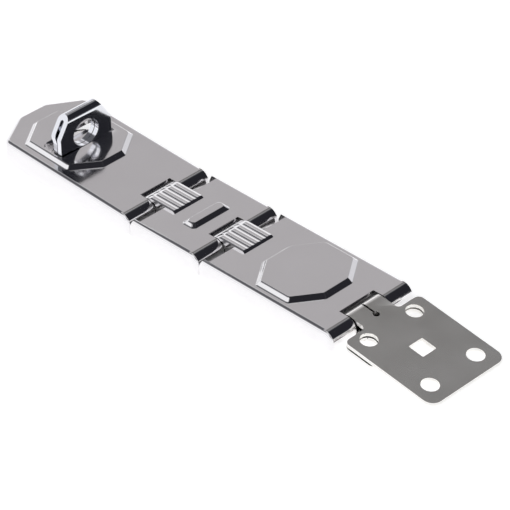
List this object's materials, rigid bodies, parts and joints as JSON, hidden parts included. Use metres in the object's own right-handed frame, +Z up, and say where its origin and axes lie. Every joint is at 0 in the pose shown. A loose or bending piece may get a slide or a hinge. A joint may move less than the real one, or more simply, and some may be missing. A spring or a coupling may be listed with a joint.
{
  "type": "hasp and staple",
  "caption": "Double-jointed steel hasp with a slotted end link closed over a folded strap staple, and a drilled fixing leaf that folds under the cover link.",
  "frame": {"origin": "centre of the bounding box, on the surface that the closed hasp lies on", "axes": "+X along the hasp from the staple end to the fixing leaf, +Y across it along the hinge pins, +Z up out of the surface"},
  "size_m": [0.195, 0.036, 0.0234],
  "materials": {
    "plated_steel": "bright mirror-like zinc or nickel plate on pressed sheet steel",
    "hardened_steel": "bright plated, hardened",
    "pin_steel": "plain drawn wire"
  },
  "bodies": {
    "cover": {"cover_link": "plated_steel", "leaf_hinge_pin": "pin_steel"},
    "leaf": {"fixing_leaf": "plated_steel"},
    "middle": {"middle_link": "plated_steel", "second_hinge_pin": "pin_steel"},
    "nose": {"slotted_link": "plated_steel", "first_hinge_pin": "pin_steel"},
    "staple": {"staple": "hardened_steel", "staple_base_plate": "plated_steel"}
  },
  "joints": [
    {"name": "leaf_hinge", "type": "hinge", "parent": "cover", "child": "leaf", "pos_m": [0.05485, 0, 0.0037], "axis": [0, 1, 0], "range_deg": [-89, 170]},
    {"name": "second_hinge", "type": "hinge", "parent": "cover", "child": "middle", "pos_m": [-0.00305, 0, 0.0037], "axis": [0, 1, 0], "range_deg": [-4, 54]},
    {"name": "first_hinge", "type": "hinge", "parent": "middle", "child": "nose", "pos_m": [-0.03435, 0, 0.0037], "axis": [0, 1, 0], "range_deg": [-6, 52]},
    {"name": "staple_lift_off", "type": "slide", "parent": "nose", "child": "staple", "axis": [0, 0, -1], "range_m": [0, 0.04]}
  ]
}
